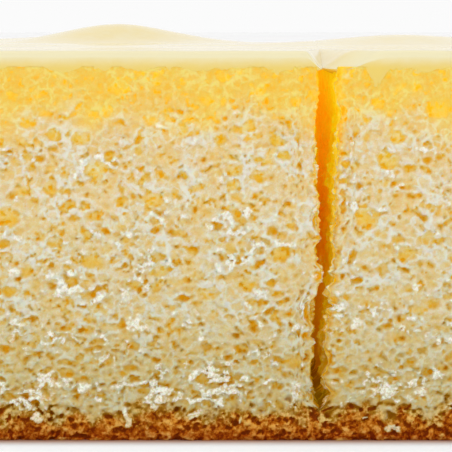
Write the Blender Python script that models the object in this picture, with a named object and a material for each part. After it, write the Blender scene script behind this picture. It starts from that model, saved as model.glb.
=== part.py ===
"""Iced castella sponge cake: a short slab of yellow sponge on a thin brown base crust, under a
layer of pale icing. One knife cut runs down the middle, front to back, and stops at the crust,
so the two portions still hold together. Metres, +Z up, and the front cut face looks along -Y."""

import math
import random

import bmesh
import bpy
from mathutils import Matrix, Vector, noise

MM = 0.001
TINY = 1e-6

# The slab
PORTION_WIDTH = 45.0 * MM
SLAB_WIDTH = 2 * PORTION_WIDTH
SLAB_DEPTH = 60.0 * MM
SPONGE_HEIGHT = 38.4 * MM
CRUST_HEIGHT = 3.3 * MM
FACE_DISHING = 0.45 * MM
FACE_GRID_CUTS = 6
FACE_WAVES_PER_METRE = 70.0

# The knife cut, as height above the base with the cut's left and right walls at the front face
CUT_WALLS = (
    (3.3, -1.15, -0.05),
    (4.6, -1.30, 0.45),
    (7.0, -1.45, -0.55),
    (9.5, -1.35, 0.10),
    (12.6, -1.85, 0.15),
    (15.5, -1.05, 0.10),
    (20.6, -0.80, 0.80),
    (28.8, -1.10, 0.95),
    (33.5, -1.15, 1.20),
    (36.6, -0.75, 0.80),
    (38.0, -0.95, 0.95),
    (39.6, -1.90, 1.90),
)

# Behind the front face the walls run closer to straight ones, and sway a little
CUT_STRAIGHT_LEFT = -0.90 * MM
CUT_STRAIGHT_RIGHT = 0.75 * MM
CUT_STRAIGHTENING = 0.6
CUT_STATIONS = 8
CUT_SWAY = 0.35 * MM
CUT_SWAYS_PER_DEPTH = 5.0
CUT_SWAYS_PER_METRE = 90.0
CUT_OVERRUN = 2.0 * MM

# Pores that a knife opens: evenly spread on each cut side, plus the widest ones of the front face
PORE_PITCH = 8.8 * MM
PORE_RADIUS = (0.70 * MM, 1.50 * MM)
PORE_FLATTENING = 0.75
PORE_OUTSET = 0.12
PORE_MARGIN = 3.2 * MM
PORE_ROW_SHIFT = 0.25
PORE_SCATTER = 0.3
PORE_EDGE_ROOM = 1.2 * MM
PORE_CUT_ROOM = 2.4 * MM
PORE_CLEARANCE = 0.5 * MM
PORE_SIDES = 8
PORE_RINGS = 4
WIDE_PORES = (
    (-32.6, 23.2, 1.45),
    (-23.4, 28.0, 1.40),
    (-12.0, 15.2, 1.15),
    (-2.9, 8.3, 1.50),
    (-6.9, 36.3, 1.15),
    (-30.4, 33.0, 1.00),
    (-17.6, 25.0, 1.05),
    (6.2, 28.9, 1.35),
    (8.4, 19.4, 1.15),
    (10.9, 14.2, 1.05),
)

# The icing
ICING_THICKNESS = 1.65 * MM
ICING_GAP = 0.30 * MM
ICING_EDGE_DROP = 0.45 * MM
ICING_EDGE_RUN = 0.55 * MM
ICING_LEAST = 0.40 * MM
ICING_COLUMNS = 17
ICING_ROWS = 20
ICING_SHARP_ANGLE = math.radians(45.0)

# Where each half of the icing starts at the knife cut, and how far it takes to reach its full height
SLOPE_COLUMNS = 4
SLOPE_START = 0.20 * MM
LEFT_SLOPE_RUN = 1.9 * MM
RIGHT_SLOPE_RUN = 4.2 * MM
LEFT_ICING_END = -0.75 * MM
RIGHT_ICING_END = 1.05 * MM
RIGHT_FRONT_TEAR = 0.9 * MM
TEAR_DEPTH = 3.0 * MM

# Soft waves that the spreading knife left in the icing: centre x and y, length, width, turn, height
ICING_WAVES = (
    (-22.5, 15.0, 10.0, 4.6, 25.0, 2.00),
    (-31.0, 19.0, 12.0, 5.5, -10.0, 0.70),
    (-12.0, -6.0, 14.0, 4.2, 20.0, 0.35),
    (-33.0, -8.0, 11.0, 5.0, 35.0, 0.45),
    (8.5, -3.0, 11.0, 5.2, 15.0, 0.85),
    (21.0, 8.0, 15.0, 5.6, 28.0, 0.95),
    (33.0, -12.0, 12.0, 5.0, 18.0, 0.65),
    (30.0, 21.0, 10.0, 4.5, -15.0, 0.75),
)

# Linear colours
CRUMB_COLOUR = (0.80, 0.60, 0.28)
CRUMB_ROUGHNESS = 0.85
ICING_COLOUR = (0.90, 0.83, 0.62)
ICING_ROUGHNESS = 0.25

SEED = 11


def clear_scene():
    for thing in list(bpy.data.objects):
        bpy.data.objects.remove(thing, do_unlink=True)


def food_material(name, colour, roughness):
    """A plain food surface."""
    material = bpy.data.materials.new(name)
    material.use_nodes = True
    shader = material.node_tree.nodes["Principled BSDF"]
    shader.inputs["Base Color"].default_value = (*colour, 1.0)
    shader.inputs["Roughness"].default_value = roughness
    shader.inputs["Metallic"].default_value = 0.0
    return material


def add_object(name, bm, material=None):
    """Puts a bmesh in the scene as a named object."""
    bmesh.ops.recalc_face_normals(bm, faces=bm.faces)
    mesh = bpy.data.meshes.new(name)
    bm.to_mesh(mesh)
    bm.free()
    made = bpy.data.objects.new(name, mesh)
    bpy.context.scene.collection.objects.link(made)
    if material:
        mesh.materials.append(material)
    return made


def as_helper(made):
    """A cutter, which isn't part of the cake."""
    made.hide_render = True
    made.display_type = "WIRE"
    return made


def cut_away(target, cutter):
    """Takes the cutter's shape out of the target, as a modifier that stays on it."""
    modifier = target.modifiers.new(cutter.name, "BOOLEAN")
    modifier.operation = "DIFFERENCE"
    modifier.solver = "EXACT"
    modifier.object = cutter


def smooth(t):
    t = min(max(t, 0.0), 1.0)
    return t * t * (3.0 - 2.0 * t)


def dishing(unit, across, place):
    """How far a cut side is dished at a place: nothing at its edges, most at its middle."""
    inner = (1.0 - (2 * unit[across]) ** 2) * (1.0 - (2 * unit.z) ** 2)
    wave = 0.5 + 0.5 * noise.noise(place * FACE_WAVES_PER_METRE)
    return FACE_DISHING * wave * math.sqrt(max(inner, 0.0))


def uncut_slab(material):
    """The sponge before the knife: a block whose cut sides are a little dished, on a flat base."""
    bm = bmesh.new()
    bmesh.ops.create_cube(bm, size=1.0)
    bmesh.ops.subdivide_edges(bm, edges=bm.edges[:], cuts=FACE_GRID_CUTS, use_grid_fill=True)
    for vertex in bm.verts:
        unit = vertex.co.copy()
        place = Vector((unit.x * SLAB_WIDTH, unit.y * SLAB_DEPTH, (unit.z + 0.5) * SPONGE_HEIGHT))
        for axis in (0, 1):
            if abs(abs(unit[axis]) - 0.5) < TINY:
                place[axis] -= math.copysign(dishing(unit, 1 - axis, place), unit[axis])
        vertex.co = place
    return add_object("sponge", bm, material)


def cut_wall_x(x, straight, along, phase, z):
    """One of the cut's walls at a share of the way from the front to the back."""
    from_front = smooth(along * 2.0)
    x += (straight - x) * CUT_STRAIGHTENING * from_front
    sway = noise.noise(Vector((phase, along * CUT_SWAYS_PER_DEPTH, z * CUT_SWAYS_PER_METRE)))
    return x + CUT_SWAY * sway * from_front


def knife_cut():
    """The narrow gap left by the knife, wandering a little on its way to the back."""
    bm = bmesh.new()
    reach = SLAB_DEPTH / 2 + CUT_OVERRUN
    levels = [(z * MM, left * MM, right * MM) for z, left, right in CUT_WALLS]
    levels.append((SPONGE_HEIGHT + CUT_OVERRUN, *levels[-1][1:]))
    rings = []
    for station in range(CUT_STATIONS + 1):
        along = station / CUT_STATIONS
        y = -reach + 2 * reach * along
        ring = []
        for z, left, _ in levels:
            x = cut_wall_x(left, CUT_STRAIGHT_LEFT, along, 3.1, z)
            ring.append(bm.verts.new((x, y, z)))
        for z, _, right in reversed(levels):
            x = cut_wall_x(right, CUT_STRAIGHT_RIGHT, along, 6.2, z)
            ring.append(bm.verts.new((x, y, z)))
        rings.append(ring)
    count = len(rings[0])
    for before, after in zip(rings, rings[1:]):
        for i in range(count):
            j = (i + 1) % count
            bm.faces.new((before[i], before[j], after[j], after[i]))
    for ring in (rings[0], rings[-1]):
        for i in range(len(levels) - 1):
            bm.faces.new((ring[i], ring[i + 1], ring[count - 2 - i], ring[count - 1 - i]))
    return as_helper(add_object("knife_cut", bm))


def side_pores(outward, width, reach, draw):
    """Places of the pores on one cut side, as centre, outward direction and radius."""
    along = Vector((-outward.y, outward.x, 0))
    low = CRUST_HEIGHT + PORE_MARGIN
    high = SPONGE_HEIGHT - PORE_MARGIN
    rows = round((high - low) / PORE_PITCH) + 1
    usable = width - 2 * PORE_MARGIN
    columns = round(usable / PORE_PITCH) + 1
    for row in range(rows):
        shift = PORE_ROW_SHIFT if row % 2 else -PORE_ROW_SHIFT
        for column in range(columns):
            across = (column + shift + PORE_SCATTER * draw.uniform(-1, 1)) / (columns - 1) - 0.5
            across = min(max(across, -0.5), 0.5)
            z = low + (high - low) * row / (rows - 1) + PORE_SCATTER * PORE_PITCH * draw.uniform(-1, 1)
            z = min(max(z, low - PORE_EDGE_ROOM), high + PORE_EDGE_ROOM)
            radius = draw.uniform(*PORE_RADIUS)
            yield outward * reach + along * usable * across + Vector((0, 0, z)), outward, radius


def front_wide_pores():
    """The front face's widest pores."""
    for x, z, radius in WIDE_PORES:
        yield Vector((x * MM, -SLAB_DEPTH / 2, z * MM)), Vector((0, -1, 0)), radius * MM


def all_pores(draw):
    yield from front_wide_pores()
    for facing in (-1, 1):
        yield from side_pores(Vector((0, facing, 0)), SLAB_WIDTH, SLAB_DEPTH / 2, draw)
        yield from side_pores(Vector((facing, 0, 0)), SLAB_DEPTH, SLAB_WIDTH / 2, draw)


def pore_cutters():
    """Flattened balls, one for each opened pore, none touching another or the knife cut's walls."""
    draw = random.Random(SEED)
    bm = bmesh.new()
    taken = []
    squash = Matrix.Diagonal((1.0, 1.0, PORE_FLATTENING, 1.0))
    for centre, outward, radius in all_pores(draw):
        crowded = any((centre - other).length < radius + r + PORE_CLEARANCE for other, r in taken)
        wide_one = len(taken) < len(WIDE_PORES)
        at_cut = abs(centre.x) < PORE_CUT_ROOM + radius
        if crowded or (at_cut and not wide_one):
            continue
        taken.append((centre, radius))
        ball = bmesh.ops.create_uvsphere(
            bm, u_segments=PORE_SIDES, v_segments=PORE_RINGS, radius=radius
        )
        spin = Matrix.Rotation(draw.uniform(0, math.tau), 4, "Z")
        lay = outward.to_track_quat("Z", "Y").to_matrix().to_4x4()
        place = Matrix.Translation(centre + outward * radius * PORE_OUTSET)
        bmesh.ops.transform(bm, matrix=place @ squash @ lay @ spin, verts=ball["verts"])
    return as_helper(add_object("pores", bm))


def wave_height(x, y):
    """How far the spreading knife's waves lift the icing at a place."""
    height = 0.0
    for centre_x, centre_y, length, width, turn, lift in ICING_WAVES:
        angle = math.radians(turn)
        dx, dy = x - centre_x * MM, y - centre_y * MM
        along = dx * math.cos(angle) + dy * math.sin(angle)
        across = -dx * math.sin(angle) + dy * math.cos(angle)
        reach = (along / (length * MM)) ** 2 + (across / (width * MM)) ** 2
        height += lift * MM * math.exp(-reach)
    return height


def row_places():
    """Front to back places of the icing's rows, with a short first and last one at its edges."""
    first, last = -SLAB_DEPTH / 2, SLAB_DEPTH / 2
    inside = SLAB_DEPTH - 2 * ICING_EDGE_RUN
    between = [first + ICING_EDGE_RUN + inside * i / (ICING_ROWS - 2) for i in range(ICING_ROWS - 1)]
    return [first, *between, last]


def column_places(inner, outer, run):
    """Places of the icing's columns: close ones on the slope at the cut, a short one at the end."""
    side = math.copysign(1.0, outer)
    slope = [inner + side * run * i / SLOPE_COLUMNS for i in range(SLOPE_COLUMNS)]
    level = inner + side * run
    count = ICING_COLUMNS - SLOPE_COLUMNS - 1
    reach = outer - side * ICING_EDGE_RUN - level
    return [*slope, *[level + reach * i / count for i in range(count + 1)], outer]


def icing_surface(side):
    """Rows of points over one half of the icing, from the cut outward and from front to back."""
    floor = SPONGE_HEIGHT + ICING_GAP
    least = floor + ICING_LEAST
    run = LEFT_SLOPE_RUN if side < 0 else RIGHT_SLOPE_RUN
    grid = []
    for row, y in enumerate(row_places()):
        inner = LEFT_ICING_END
        if side > 0:
            torn = 1 - smooth((y + SLAB_DEPTH / 2) / TEAR_DEPTH)
            inner = RIGHT_ICING_END + RIGHT_FRONT_TEAR * torn
        line = []
        for column, x in enumerate(column_places(inner, side * SLAB_WIDTH / 2, run)):
            full = SPONGE_HEIGHT + ICING_THICKNESS + wave_height(x, y)
            slope = smooth((abs(x - inner) + SLOPE_START) / run) if column else 0.0
            z = least + (full - least) * slope
            if column == ICING_COLUMNS or row in (0, ICING_ROWS):
                z = max(z - ICING_EDGE_DROP, floor + ICING_LEAST / 2)
            line.append((x, y, z))
        grid.append(line)
    return grid


def icing_half(name, material, side):
    """One portion's icing. side is -1 for the left portion and 1 for the right one."""
    floor = SPONGE_HEIGHT + ICING_GAP
    bm = bmesh.new()
    top = [[bm.verts.new(point) for point in line] for line in icing_surface(side)]
    for near, far in zip(top, top[1:]):
        for i in range(ICING_COLUMNS):
            bm.faces.new((near[i], near[i + 1], far[i + 1], far[i]))
    rim = top[0][:]
    rim += [line[-1] for line in top[1:]]
    rim += top[-1][-2::-1]
    rim += [line[0] for line in top[-2:0:-1]]
    foot = [bm.verts.new((vertex.co.x, vertex.co.y, floor)) for vertex in rim]
    for i in range(len(rim)):
        j = (i + 1) % len(rim)
        bm.faces.new((rim[i], foot[i], foot[j], rim[j]))
    bm.faces.new(foot)
    made = add_object(name, bm, material)
    made.data.shade_smooth()
    made.data.set_sharp_from_angle(angle=ICING_SHARP_ANGLE)
    return made


def build():
    clear_scene()
    cake = bpy.data.objects.new("cake", None)
    bpy.context.scene.collection.objects.link(cake)
    crumb = food_material("sponge_crumb", CRUMB_COLOUR, CRUMB_ROUGHNESS)
    glaze = food_material("pale_icing", ICING_COLOUR, ICING_ROUGHNESS)
    sponge = uncut_slab(crumb)
    cut_away(sponge, knife_cut())
    cut_away(sponge, pore_cutters())
    pieces = [sponge, icing_half("icing_left", glaze, -1), icing_half("icing_right", glaze, 1)]
    for piece in pieces:
        piece.parent = cake


build()
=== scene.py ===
"""Iced castella sponge cake: an open yellow crumb on a brown base crust under pale icing, with one
knife cut. Places and lengths are in millimetres, and MM turns them into Blender's metres."""

import math
import random

import bpy
import numpy as np
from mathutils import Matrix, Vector


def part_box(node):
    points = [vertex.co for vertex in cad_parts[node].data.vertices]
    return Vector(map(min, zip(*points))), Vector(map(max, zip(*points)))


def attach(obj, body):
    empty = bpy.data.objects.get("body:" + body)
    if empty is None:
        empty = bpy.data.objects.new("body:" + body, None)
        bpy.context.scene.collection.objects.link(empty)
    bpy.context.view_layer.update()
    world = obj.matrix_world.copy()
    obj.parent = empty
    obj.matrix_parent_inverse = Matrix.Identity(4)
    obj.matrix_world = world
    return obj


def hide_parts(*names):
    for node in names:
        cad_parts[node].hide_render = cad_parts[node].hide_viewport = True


bl_info = {
    "name": "Iced Castella Sponge Cake",
    "version": (1, 0, 0),
    "blender": (4, 5, 0),
    "location": "View3D > Sidebar > Cake",
    "description": "Makes the crumb, crust and icing of a knife-cut sponge cake around its solids",
    "category": "Add Mesh",
}

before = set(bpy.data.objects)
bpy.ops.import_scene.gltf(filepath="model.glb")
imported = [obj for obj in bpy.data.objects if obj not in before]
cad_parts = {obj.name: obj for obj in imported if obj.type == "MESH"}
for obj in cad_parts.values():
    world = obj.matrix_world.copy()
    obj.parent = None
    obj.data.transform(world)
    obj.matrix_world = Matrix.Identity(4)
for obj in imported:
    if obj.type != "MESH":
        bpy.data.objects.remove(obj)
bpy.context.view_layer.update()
MM = 0.001

# The sponge's box, from the frame
HALF_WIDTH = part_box("sponge")[1].x / MM
HALF_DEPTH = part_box("sponge")[1].y / MM
SPONGE_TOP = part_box("sponge")[1].z / MM
FRONT_DEPTH = 10.0
JOINT_Y = FRONT_DEPTH - HALF_DEPTH
# The front and back blocks reach this far past the joint, and sink this much at their ends there
JOINT_LAP = 0.4
JOINT_SINK = 0.4
JOIN_X = -0.60

# The knife cut, as height above the base with the cut's left and right walls at the front face
CUT_WALLS = (
    (3.3, -0.75, -0.45),
    (3.8, -1.15, -0.05),
    (4.9, -1.30, 0.42),
    (5.6, -1.36, -0.10),
    (6.6, -1.42, -0.45),
    (7.9, -1.50, 0.12),
    (8.7, -1.15, 0.20),
    (9.8, -1.35, -0.25),
    (11.7, -1.30, -0.05),
    (12.9, -1.50, 0.14),
    (13.4, -1.50, 0.45),
    (13.8, -1.45, 0.78),
    (14.4, -1.35, 0.72),
    (15.0, -0.96, 0.10),
    (15.5, -0.93, 0.26),
    (16.3, -0.65, 0.60),
    (17.0, -0.50, 0.70),
    (17.8, -0.54, 0.82),
    (18.2, -0.98, 0.90),
    (20.6, -0.92, 0.76),
    (21.1, -0.68, 0.76),
    (24.2, -0.68, 0.88),
    (25.5, -0.90, 0.78),
    (28.8, -1.10, 0.95),
    (33.5, -1.15, 1.20),
    (36.6, -0.75, 0.80),
    (38.4, -0.95, 1.15),
)
CUT_STRAIGHT_LEFT = -0.90
CUT_STRAIGHT_RIGHT = 0.75
CUT_STRAIGHTENING = 0.6
CUT_SWAY = 0.35
CUT_SWAYS_PER_DEPTH = 5.0
CUT_BLEND = 4.0
CUT_BULGE = 0.75
CUT_BULGE_Y = 12.0
CUT_BULGE_REACH = 14.0
LEFT_SWAY_SEED = 31
RIGHT_SWAY_SEED = 62
# The ragged crumb on the cut's walls: height, spacing and seed. The finer rags calm down behind
# the front edges.
CUT_LUMPS = (0.16, 0.9, 71)
CUT_RAGS = (0.17, 0.36, 73)
CUT_RAGS_BEHIND = 0.4
CUT_RAGS_REACH = 5.0
# Below the cut the two portions reach a little way into each other
JOIN_OVERLAP = 0.35
JOIN_DROP = 0.4
JOIN_BLEND = 0.5

# Where crumb broke off the cut's front edges: across from the edge, up, half width, half height
CHIPS = (
    (-0.35, 13.0, 0.50, 1.50),
    (-0.95, 10.8, 1.05, 0.40),
    (-0.30, 17.0, 0.50, 0.80),
    (-0.20, 23.0, 0.32, 1.60),
    (0.30, 8.6, 0.45, 1.00),
)
CHIP_DEPTH = 1.1
CHIP_SPREAD = 1.25

# The solids' opened pores, drawn in the same order as they were cut
SEED = 11
FOAM_SEED = 100
RELIEF_SEED = 200
RELIEF_SEEDS_APART = 40
CRUST_HEIGHT = 3.3
PORE_PITCH = 8.8
PORE_RADIUS = (0.70, 1.50)
PORE_OUTSET = 0.12
PORE_MARGIN = 3.2
PORE_ROW_SHIFT = 0.25
PORE_SCATTER = 0.3
PORE_EDGE_ROOM = 1.2
PORE_CUT_ROOM = 2.4
PORE_CLEARANCE = 0.5
WIDE_PORES = (
    (-32.6, 23.2, 1.45),
    (-23.4, 28.0, 1.40),
    (-12.0, 15.2, 1.15),
    (-2.9, 8.3, 1.50),
    (-6.9, 36.3, 1.15),
    (-30.4, 33.0, 1.00),
    (-17.6, 25.0, 1.05),
    (6.2, 28.9, 1.35),
    (8.4, 19.4, 1.15),
    (10.9, 14.2, 1.05),
)

# Smaller bubbles between the pores: least and most radius, tries for each square millimetre of a
# side, and the depths that they lie between
FINE_LEVELS = (
    (0.42, 0.95, 6.0, -0.75, 1.1),
    (0.21, 0.40, 30.0, -0.3, 1.3),
    (0.10, 0.19, 30.0, -0.15, 0.5),
)
COARSE_LEVELS = (
    (0.45, 0.90, 5.0, -0.6, 1.5),
    (0.30, 0.44, 12.0, -0.3, 0.9),
)
BUBBLE_SQUEEZE = 1.28
BUBBLE_STRETCH = 0.75
# The higher this is, the more of a level's bubbles are small
BUBBLE_SIZE_POWER = 1.6
# How much deeper a pore is in its lower half
PORE_LEAN = 0.40
# The knife opens a bubble whose centre is at most this many radii behind the surface, and this
# share of the deeper ones
OPEN_RADII = 0.35
DEEP_OPEN_SHARE = 0.20
# A bubble that it doesn't open dents the surface, or opens where a pore breaks into it
DENT_REACH = 0.35
DENT_DEPTH = 0.55
DENT_WIDEST = 0.6
BREAK_DEPTH = 0.30
MEMBRANE = 0.04
DEEPEST = 3.0
DEPTH_LIMIT = 1.5
WARP_REACH = 0.45
# The grid that tells how much room is left for bubbles, its reach past a side's ends and the
# depths that it spans
ROOM_STEP = 0.15
ROOM_REACH = 0.60
ROOM_PAST_ENDS = 1.5
ROOM_FRONT = -1.8
ROOM_BACK = 2.4
ROOM_EMPTY = 9.0
PORES_PAST_ENDS = 2.0

# How flat the bubbles lie: height above the base, and a bubble's height for its width there
FLATTENING = ((0.0, 0.50), (7.0, 0.56), (14.0, 0.74), (22.0, 0.86), (38.4, 0.90))

# How readily the knife tears pale crumb loose: height above the base, and how much holds
HOLD = (
    (0.0, 1.20),
    (2.8, 0.60),
    (4.0, -0.10),
    (6.8, -0.12),
    (8.5, 0.12),
    (13.0, 0.12),
    (22.0, 0.16),
    (30.0, 0.28),
    (35.0, 0.65),
    (38.4, 0.95),
)

# Torn bits that stand out of the front face: across, up, half width, half height, turn in
# degrees and how far they stand out
FLECKS = (
    (-32.0, 17.5, 0.80, 0.70, 20, 0.50),
    (-19.6, 12.0, 0.85, 0.70, 25, 0.55),
    (-18.4, 11.6, 0.55, 0.45, 0, 0.45),
    (-10.8, 26.8, 0.40, 0.70, 0, 0.40),
    (-2.6, 11.6, 0.70, 0.55, 15, 0.50),
    (3.2, 12.0, 0.75, 0.70, 30, 0.45),
    (0.9, 15.2, 0.75, 0.45, -20, 0.35),
    (1.4, 18.8, 0.40, 0.40, 0, 0.35),
    (4.5, 7.1, 0.38, 0.55, 0, 0.40),
    (11.8, 10.3, 0.60, 0.45, 35, 0.40),
    (1.5, 37.3, 0.75, 0.50, -10, 0.15),
    (-2.6, 5.3, 1.15, 1.00, 0, 0.35),
    (-28.2, 6.0, 1.60, 0.40, 5, 0.40),
    (-25.0, 5.4, 0.80, 0.50, -30, 0.40),
    (-29.2, 4.6, 1.50, 0.35, 0, 0.35),
    (-20.6, 5.6, 2.20, 0.35, 8, 0.35),
    (-13.6, 6.4, 0.80, 0.45, 40, 0.45),
    (5.5, 5.4, 2.20, 0.35, 10, 0.35),
    (9.8, 5.2, 1.00, 0.60, -10, 0.35),
    (-29.6, 2.5, 0.95, 0.42, -30, 0.45),
    (-20.5, 2.3, 0.50, 1.15, -10, 0.45),
    (-17.8, 3.4, 0.80, 0.80, 0, 0.30),
    (-13.2, 2.7, 0.75, 0.50, 0, 0.45),
    (-8.8, 2.2, 0.45, 0.45, 0, 0.30),
    (6.9, 1.4, 0.95, 0.65, 10, 0.35),
    (4.0, 2.4, 0.80, 0.25, 5, 0.30),
)
# A bit is at its full height at this value of the last number, and frays this far out
FLECK_FULL = 0.40
FLECK_SPREAD = 1.35
FLECK_WARP = 1.5
# Loose bits on every side, which lie mostly low
LOOSE_FLECKS_PER_AREA = 0.04
LOOSE_START = 1.0
LOOSE_TOP_ROOM = 10.0
LOOSE_LOW_POWER = 1.5
LOOSE_SIZE = (0.22, 0.5)
LOOSE_TALLNESS = (0.5, 1.1)
LOOSE_TURN = 40
LOOSE_OUT = 0.8

# Layers of noise on the sides. A layer has a number for its draws and its turn, a height and a
# spacing, and some have how much flatter than wide its bumps are.
SWELLS = ((0, 0.20, 3.3), (1, 0.12, 1.2), (2, 0.06, 0.45))
WARPS_ACROSS = ((3, 0.24, 1.1), (4, 0.16, 0.50), (21, 0.08, 0.25))
WARPS_UP = ((5, 0.22, 1.1), (6, 0.14, 0.50), (22, 0.08, 0.25))
SOAK_WANDER = ((7, 2.0, 2.6),)
CRUST_WANDER = ((8, 0.9, 1.8), (9, 0.6, 0.6))
POCKS = ((23, 1.0, 0.42), (24, 0.5, 0.24))
GRAINS = ((25, 0.20, 0.9), (10, 0.14, 0.45), (11, 0.10, 0.25))
CRUMBS = ((12, 0.06, 0.36), (13, 0.06, 0.22))
TEARS = ((14, 0.55, 3.0, 1.6), (15, 0.40, 1.3, 1.4), (16, 0.20, 0.5))
TEAR_FRAY = ((19, 0.45, 0.25),)
FLECK_FRAY = ((20, 0.35, 0.35),)
BIT_RIPPLE = ((17, 0.8, 0.30),)
FOOT_RIPPLE = ((18, 0.4, 0.9),)
LATTICE = 256
LATTICE_START = 100.0
GOLDEN_ANGLE = math.radians(137.5)

# Where the icing's syrup has soaked the crumb, where the crust ends, and how both fill the pores
SOAK_START = 29.5
SOAK_RISE = 6.0
SOAK_FILLS_PORES = 0.35
CRUST_EDGE = 1.35
CRUST_FADE = 3.2
CRUST_FILLS_PORES = 0.55
CRUST_FILLS_DENTS = 0.5
PORE_SOFTENING = 0.62

# Small pocks, more of them inside the pores
POCK_DEPTH = 0.20
POCK_RARITY = 0.82
POCK_EASE = 0.30
MORE_POCKS_IN_PORES = 0.45
POCKED_PORE_DEPTH = 0.4

# Torn crumb: how much a tear counts, and the rims of pores, and how far the bits stand out
TEAR_GAIN = 2.2
TEAR_START = 0.7
RIM_TEARS = 0.9
RIM_DEPTH = 0.25
RIM_LIMITS = (-2.0, 1.2)
BIT_HEIGHT = 0.22
BIT_PALE_FROM = 0.3
BIT_PALE_SPAN = 0.4
BITS_FILL_PORES = 0.6

# How much of the relief is kept, less where it is soaked and right under the icing
RELIEF_SHARE = 0.84
SOAKED_LOSS = 0.38
FLAT_TOP_LOSS = 0.28
FLAT_TOP_START = 36.2
FLAT_TOP_SPAN = 1.6
MOST_PROUD = 0.7
FOOT_INSET = 0.20
FOOT_HEIGHT = 0.40
# The relief next to a block's edge: its depth at the edge, and how it deepens from there
SIDE_EDGE = (0.40, 0.9)
WALL_EDGE = (0.12, 0.5)
WALL_FOOT = 0.2
WALL_FOOT_BLEND = 0.8

# What makes a place count as a pit. The crumb's colour follows it as painted shade: paler on
# rims, deeper orange further into pores, pocks and chips, and darker in a pore's lower half
NEAR_BLUR = 2
WIDE_BLUR = 7
PIT_SHIFT = 0.4
PIT_FINE = 0.9
PIT_WIDE = 0.7
PIT_OPENED = 0.12
PIT_LEAN = 0.30
PIT_POCKS = 0.40
PIT_CHIPS = 0.5
WALL_PIT = 0.40

# Painted glow, emission that stands in for light coming through the crumb: in pores and chips,
# and on the cut's walls
GLOW_START = 0.15
GLOW_SPAN = 0.9
PORE_GLOW = 0.5
CHIP_GLOW = 0.30
WALL_GLOW_REACH = 3.0
WALL_GLOW_AT_END = {"left_wall": 0.2, "right_wall": 0.7}
BACK_DIMMING = 0.6
BACK_DIM_FROM = 12.0
BACK_DIM_SPAN = 16.0
DEEP_FROM = 8.0
DEEP_SPAN = 22.0

# The edge to the right of the cut, wider near the top: what it adds to and how wide that reaches.
# Besides deepening it, it adds painted shade (pit) and painted glow (glow, deep).
BESIDE_CUT = (("depth", 0.45, 1.0), ("pit", 0.50, 1.4), ("glow", 0.5, 1.2), ("deep", 0.8, 1.0))
BESIDE_REACH = 0.7
BESIDE_WIDENING = 0.6
BESIDE_FROM = 27.0
BESIDE_SPAN = 6.0
CREASE_DEPTH = 0.30
CREASE_REACH = 0.4

# Spacing of the surface's points, and how it grows away from where the front shows most
FINE_STEP = 0.14
EDGE_STEP = 0.36
WALL_STEP = 0.40
BACK_STEP = 0.35
STEP_GROWTH = 0.05
SEEN_FROM = -34.6
SEEN_TO = 14.0

# The icing
ICING_THICKNESS = 1.65
ICING_ROUNDING = 0.55
LEFT_SLOPE_RUN = 1.9
RIGHT_SLOPE_RUN = 4.2
LEFT_ICING_END = -0.55
RIGHT_ICING_END = 1.05
RIGHT_FRONT_TEAR = 0.9
TEAR_DEPTH = 3.0
# Behind a funnel at the front the soft icing has closed again over the cut
CLOSING_DEPTH = 2.4
FUNNEL_DEPTH = 13.0
CLOSED_AT = -0.40
CLOSED_OVERLAP = 0.15
CLOSED_DIP = 0.05
CLOSED_RUN = 0.35
ICING_STEP = 0.55
ICING_FINE_STEP = 0.10
ICING_STEP_GROWTH = 0.25
SLOPE_START = 0.20
# Height, spacing and seed of the ripples on its top, and of those along its edge at the cut
ICING_RIPPLE = (0.05, 4.5, 41)
CUT_EDGE_RIPPLE = (0.10, 2.3, 31)
# How far its edge at the cut lies under the sponge's top
CUT_EDGE_SINK = 0.3

# The skirt that goes down from the icing's rim, less far at the cut
SKIRT_ROWS = 12
ICING_SINK = 0.25
ICING_FOOT = 1.1
SHALLOW_FOOT_REACH = 3.5
LEAST_SKIRT = 0.05
RIM_SLACK = 0.01
SKIRT_BULGES = ((0.08, 1.7, 61), (0.03, 0.6, 62))
SKIRT_OUT = 0.06
SKIRT_EASE = 3.0
# It slants inward from a little above the sponge's top, or above a drip's lower edge
TUCK_START = 0.3
TUCK_SLANT = 0.24
TUCK_LIMIT = 3.0
# How far the icing's colour has gone towards that at the crumb: on its top, and at most
TOP_SINK = 0.52
TOP_SINK_REACH = 2.5
MOST_SINK = 1.3
# Where the parts of its map lie: the corner, and the width or the width and height
ICING_TOP_MAP = (0.01, 0.01, 0.48)
ICING_BASE_MAP = (0.6, 0.1, 0.2)
ICING_SKIRT_MAP = (0.01, 0.90, 0.96, 0.04)

# Soft waves that the spreading knife left in the icing: centre x and y, length, width, turn in
# degrees and height
ICING_WAVES = (
    (-22.5, 15.0, 10.0, 4.6, 25.0, 2.00),
    (-31.0, 19.0, 12.0, 5.5, -10.0, 0.70),
    (-12.0, -6.0, 14.0, 4.2, 20.0, 0.35),
    (-33.0, -8.0, 11.0, 5.0, 35.0, 0.45),
    (8.5, -3.0, 11.0, 5.2, 15.0, 1.05),
    (21.0, 8.0, 15.0, 5.6, 28.0, 0.95),
    (33.0, -12.0, 12.0, 5.0, 18.0, 0.65),
    (30.0, 21.0, 10.0, 4.5, -15.0, 0.75),
)

# Icing that ran down the front face: across, half width and how far below the sponge's top
DRIPS = (
    (5.2, 0.85, 1.9),
    (-26.5, 1.30, 0.5),
    (-13.0, 1.60, 0.4),
    (-5.0, 1.00, 0.5),
    (10.5, 1.20, 0.5),
)
DRIP_SPREAD = 1.5

# The camera, whose picture is square
CAMERA_DISTANCE = 300.0
CAMERA_X = -10.2
CAMERA_Z = 45.0
AIM_Z = 22.13
LENS_MM = 234.3
SENSOR_MM = 36.0
NEAREST_SEEN = 10.0

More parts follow.
